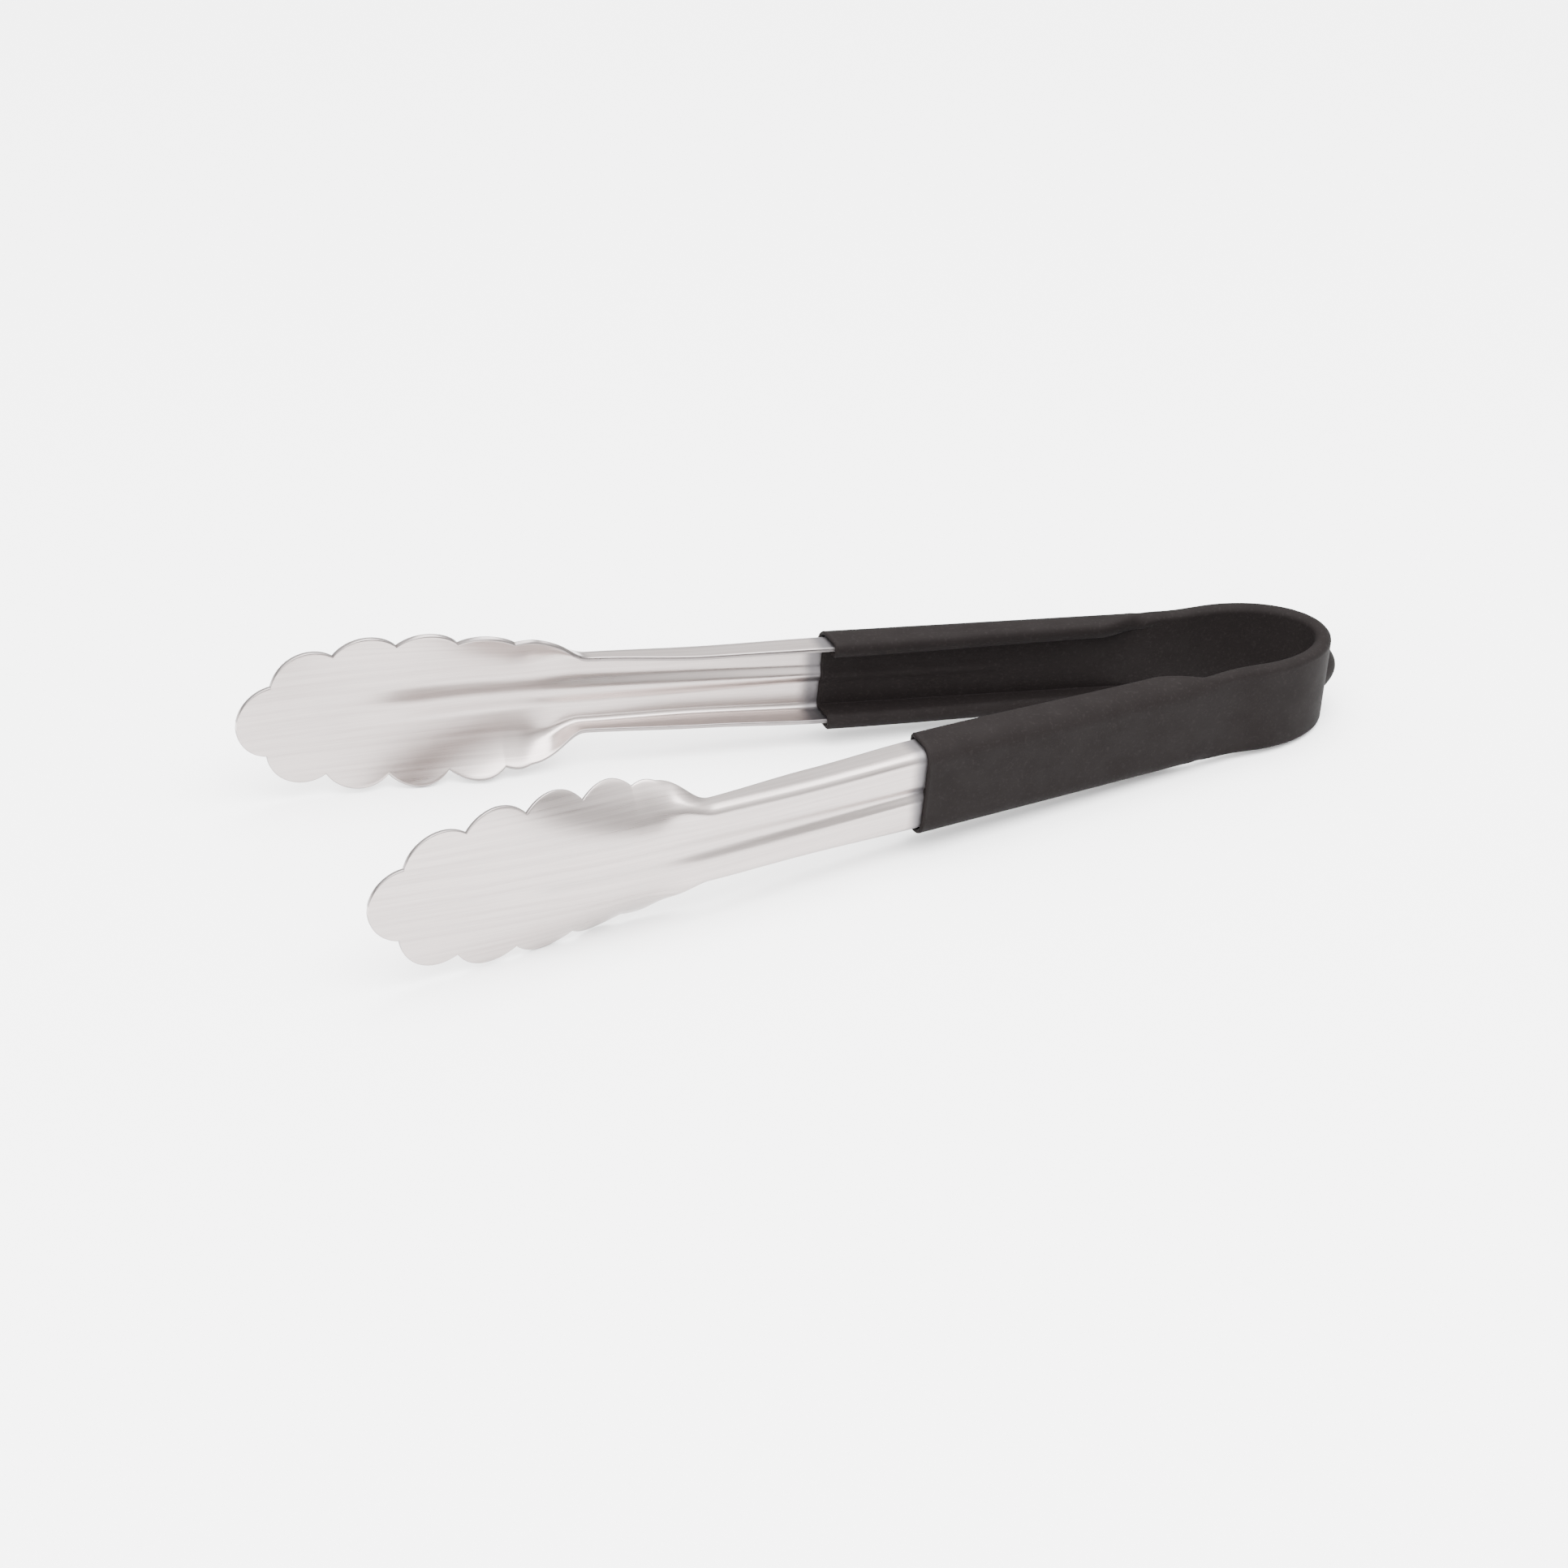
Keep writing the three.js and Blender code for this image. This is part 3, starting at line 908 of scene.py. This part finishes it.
@dataclass
class GripCoat:
    """One half of the dip moulded coat, from its mouth on an arm to the crown of the bow."""

    strip: Strip
    placing: Matrix
    material: bpy.types.Material
    thickness: float = 1.25
    gap: float = 0.3
    fineness: tuple[int, ...] = (5, 5, 5, 6, 5, 5, 4, 4)
    bow_steps: int = 72
    crown_bunching: float = 1.35
    nub_height: float = 3.35
    nub_half_width: float = 4.4
    nub_half_height: float = 5.8
    nub_steepness: float = 1.2

    def with_nub(self, place: Station, ring: list[Point]) -> list[Point]:
        """Push the outer side of a ring out over the drip nub at the crown.

        Args:
            place: The station of the ring.
            ring: The ring's (z, depth, run) points.

        Returns:
            The ring with the nub on it.
        """
        spread = place.y / self.nub_half_width
        pushed = []
        for z, depth, run in ring:
            distance = math.hypot(spread, z / self.nub_half_height)
            dome = self.nub_height * clamp(1 - distance ** 2) ** self.nub_steepness
            pushed.append((z, depth - dome if depth < 0 else depth, run))
        return pushed

    def build(self, side: Side) -> bpy.types.Object:
        """Make one half, from its mouth to the crown of the bow.

        Args:
            side: Which half to make.

        Returns:
            The finished piece.
        """
        strip = self.strip
        skin = strip.sheet / 2 + self.thickness
        hollow = strip.sheet / 2 + self.gap
        places = [strip.arm_station(x) for x in strip.stations(side.mouth_x)]
        halves = [strip.half_section(place.x, self.fineness) for place in places]
        flat = strip.half_section(strip.bow_x, self.fineness)
        for step in range(1, self.bow_steps + 1):
            part = (1 - step / self.bow_steps) ** self.crown_bunching
            places.append(strip.bow_station(math.pi / 2 * part))
            halves.append(flat)
        outer = [ring_of(half, skin, round_edge(skin, self.thickness), True) for half in halves]
        outer = [self.with_nub(place, ring) for place, ring in zip(places, outer)]
        inner = [ring_of(half, hollow, round_edge(hollow, self.gap), False) for half in halves]
        loft = Loft()
        count, last = len(outer[0]), len(outer) - 1
        out_start = loft.add(outer, places, flip=False, level_x=side.mouth_x)
        in_start = loft.add(inner, places, flip=True, level_x=side.mouth_x)
        loft.rim(out_start, in_start, count, last=False)
        loft.rim(out_start + last * count, in_start + last * count, count, last=True)
        piece = loft.mesh(side.named("coat"), side, self.placing)
        piece.data.materials.append(self.material)
        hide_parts(side.named("grip"), "bow_grip")
        bend_to_arm(piece)
        LOG.info("%s: %d faces", piece.name, len(piece.data.polygons))
        return piece


@dataclass
class CoatLip:
    """The rounded bead at the mouth of a coat, swept round the channel by Geometry Nodes."""

    strip: Strip
    placing: Matrix
    material: bpy.types.Material
    radius: float = 0.5
    offset: float = 1.28
    unevenness: float = 0.12
    wave_scale: float = 260.0
    first_seed: float = 3.0
    profile_points: int = 16
    fineness: tuple[int, ...] = (5, 5, 5, 6, 5, 5, 4, 4)

    def tree(self) -> bpy.types.NodeTree:
        """Build the node tree that sweeps a round bead along a loop of edges.

        Returns:
            The tree, with inputs for the bead's radius, unevenness, seed and material.
        """
        tree = bpy.data.node_groups.new("lip_bead", "GeometryNodeTree")
        face = tree.interface
        face.new_socket(name="Geometry", in_out="INPUT", socket_type="NodeSocketGeometry")
        face.new_socket(name="Bead radius", in_out="INPUT", socket_type="NodeSocketFloat")
        face.new_socket(name="Unevenness", in_out="INPUT", socket_type="NodeSocketFloat")
        face.new_socket(name="Seed", in_out="INPUT", socket_type="NodeSocketFloat")
        face.new_socket(name="Finish", in_out="INPUT", socket_type="NodeSocketMaterial")
        face.new_socket(name="Geometry", in_out="OUTPUT", socket_type="NodeSocketGeometry")
        nodes = Nodes(tree)
        start = nodes.add("NodeGroupInput")
        end = nodes.add("NodeGroupOutput")
        path = nodes.add("GeometryNodeMeshToCurve", {"Mesh": start.outputs["Geometry"]})
        seeded = {"W": start.outputs["Seed"], "Scale": self.wave_scale, "Detail": 1.0}
        noise = nodes.add("ShaderNodeTexNoise", seeded, noise_dimensions="4D")
        middle = nodes.maths("SUBTRACT", noise.outputs["Fac"], 0.5)
        swing = nodes.maths("MULTIPLY", middle, start.outputs["Unevenness"])
        size = nodes.maths("ADD", 1.0, nodes.maths("MULTIPLY", swing, 2.0))
        swollen = nodes.add("GeometryNodeSetCurveRadius", {"Curve": path.outputs[0], "Radius": size})
        round_profile = {"Resolution": self.profile_points, "Radius": start.outputs["Bead radius"]}
        ring = nodes.add("GeometryNodeCurvePrimitiveCircle", round_profile)
        swept = {"Curve": swollen.outputs[0], "Profile Curve": ring.outputs[0]}
        bead = nodes.add("GeometryNodeCurveToMesh", swept)
        smooth = nodes.add("GeometryNodeSetShadeSmooth", {"Geometry": bead.outputs[0]})
        real = nodes.add("GeometryNodeRealizeInstances", {"Geometry": smooth.outputs[0]})
        finish = {"Geometry": real.outputs[0], "Material": start.outputs["Finish"]}
        dressed = nodes.add("GeometryNodeSetMaterial", finish)
        nodes.put(end.inputs["Geometry"], dressed.outputs[0])
        return tree

    def build(self, side: Side, tree: bpy.types.NodeTree) -> bpy.types.Object:
        """Sweep the bead of one arm and turn it into a plain mesh.

        Args:
            side: Which arm.
            tree: The bead's node tree.

        Returns:
            The finished piece.
        """
        place = self.strip.arm_station(side.mouth_x)
        half = self.strip.half_section(side.mouth_x, self.fineness)
        edge = round_edge(self.offset, self.offset - self.strip.sheet / 2)
        ring = ring_of(half, self.offset, edge, True)
        points = []
        for z, depth, _ in ring:
            x, y, z = place.spot(z, depth, side.mouth_x)
            points.append(self.placing @ Vector((x, side.value * y, z)))
        count = len(points)
        data = bpy.data.meshes.new(side.named("lip"))
        data.from_pydata(points, [(i, (i + 1) % count) for i in range(count)], [])
        piece = bpy.data.objects.new(side.named("lip"), data)
        bpy.context.scene.collection.objects.link(piece)
        modifier = piece.modifiers.new("bead", "NODES")
        modifier.node_group = tree
        sizes = {
            "Bead radius": self.radius * MM,
            "Unevenness": self.unevenness,
            "Seed": self.first_seed + side.value,
            "Finish": self.material,
        }
        for item in tree.interface.items_tree:
            if item.in_out == "INPUT" and item.name in sizes:
                modifier[item.identifier] = sizes[item.name]
        depsgraph = bpy.context.evaluated_depsgraph_get()
        made = bpy.data.meshes.new_from_object(piece.evaluated_get(depsgraph))
        piece.modifiers.clear()
        piece.data = made
        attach(piece, side.body)
        LOG.info("%s: %d faces", piece.name, len(piece.data.polygons))
        return piece


@dataclass(frozen=True)
class Lamp:
    """A soft square light that points at the tongs: metres and watts."""

    name: str
    place: Point
    size: float
    power: float


@dataclass
class Studio:
    """Pale floor, soft lights and the camera; angles in degrees, distance in millimetres."""

    placing: Matrix
    azimuth: float = -27.65
    elevation: float = 29.34
    roll: float = 5.90
    distance: float = 1183.1
    lens: float = 130.4
    shift: tuple[float, float] = (-0.0064, -0.0267)
    sensor: float = 36.0
    clip: tuple[float, float] = (0.05, 20.0)
    floor_colour: Colour = (0.93, 0.93, 0.93, 1.0)
    floor_roughness: float = 0.9
    floor_half: float = 3.0
    room_low: float = 0.9
    room_high: float = 3.2
    room_full_height: float = 0.7
    lamps: tuple[Lamp, ...] = (
        Lamp("overhead", (0.1, -0.2, 1.4), 1.6, 95.0),
        Lamp("window", (-0.9, -0.9, 0.9), 0.9, 30.0),
    )

    def camera(self) -> None:
        """Stand the camera so that it looks at the tongs from the left front and above."""
        azimuth, elevation, roll = (math.radians(a) for a in (self.azimuth, self.elevation, self.roll))
        level = math.cos(elevation)
        back = Vector((math.sin(azimuth) * level, -math.cos(azimuth) * level, math.sin(elevation)))
        right = Vector((math.cos(azimuth), math.sin(azimuth), 0))
        up = back.cross(right)
        turned = right * math.cos(roll) + up * math.sin(roll)
        upright = up * math.cos(roll) - right * math.sin(roll)
        axes = Matrix((turned, upright, back)).transposed().to_4x4()
        rest = (self.placing.to_3x3() * (1 / MM)).to_4x4()
        data = bpy.data.cameras.new("camera")
        data.lens = self.lens
        data.sensor_width = self.sensor
        data.shift_x, data.shift_y = self.shift
        data.clip_start, data.clip_end = self.clip
        camera = bpy.data.objects.new("camera", data)
        place = self.placing @ (back * self.distance)
        camera.matrix_world = Matrix.Translation(place) @ rest @ axes
        bpy.context.scene.collection.objects.link(camera)
        bpy.context.scene.camera = camera

    def floor(self) -> None:
        """Lay a large pale floor under the tongs."""
        data = bpy.data.meshes.new("floor")
        size = self.floor_half
        corners = [(-size, -size, 0), (size, -size, 0), (size, size, 0), (-size, size, 0)]
        data.from_pydata(corners, [], [(0, 1, 2, 3)])
        floor = bpy.data.objects.new("floor", data)
        material = bpy.data.materials.new("pale_floor")
        material.use_nodes = True
        shader = material.node_tree.nodes["Principled BSDF"]
        shader.inputs["Base Color"].default_value = self.floor_colour
        shader.inputs["Roughness"].default_value = self.floor_roughness
        data.materials.append(material)
        bpy.context.scene.collection.objects.link(floor)

    def light(self, lamp: Lamp) -> None:
        """Hang one lamp, turned towards the tongs."""
        data = bpy.data.lights.new(lamp.name, "AREA")
        data.size = lamp.size
        data.energy = lamp.power
        hung = bpy.data.objects.new(lamp.name, data)
        aim = Vector(lamp.place).to_track_quat("Z", "Y").to_matrix().to_4x4()
        hung.matrix_world = Matrix.Translation(lamp.place) @ aim
        bpy.context.scene.collection.objects.link(hung)

    def world(self) -> None:
        """Fill the room with white light that grows stronger from the horizon upwards."""
        world = bpy.data.worlds.new("room")
        world.use_nodes = True
        nodes = Nodes(world.node_tree)
        place = nodes.add("ShaderNodeTexCoord").outputs["Generated"]
        height = nodes.add("ShaderNodeSeparateXYZ", {0: place}).outputs[2]
        more = nodes.span(height, 0.0, self.room_full_height, self.room_high - self.room_low)
        strength = nodes.maths("ADD", self.room_low, more)
        back = world.node_tree.nodes["Background"]
        nodes.put(back.inputs["Color"], (1.0, 1.0, 1.0, 1.0))
        nodes.put(back.inputs["Strength"], strength)
        bpy.context.scene.world = world

    def build(self) -> None:
        """Set up the whole studio."""
        self.camera()
        self.floor()
        self.world()
        for lamp in self.lamps:
            self.light(lamp)
        LOG.info("studio: floor, lights and camera")


def main() -> None:
    """Build the tongs and the studio."""
    logging.basicConfig(level=logging.INFO, format="%(name)s: %(message)s")
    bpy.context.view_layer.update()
    placing = Rest().matrix()
    strip = Strip()
    steel = BrushedSteel().material()
    vinyl = DippedVinyl().material()
    steel_strip = SteelStrip(strip, placing, steel)
    coat = GripCoat(strip, placing, vinyl)
    lip = CoatLip(strip, placing, vinyl)
    bead = lip.tree()
    for side in Side:
        steel_strip.build(side)
        coat.build(side)
        lip.build(side, bead)
    Studio(placing).build()


if __name__ == "__main__":
    main()
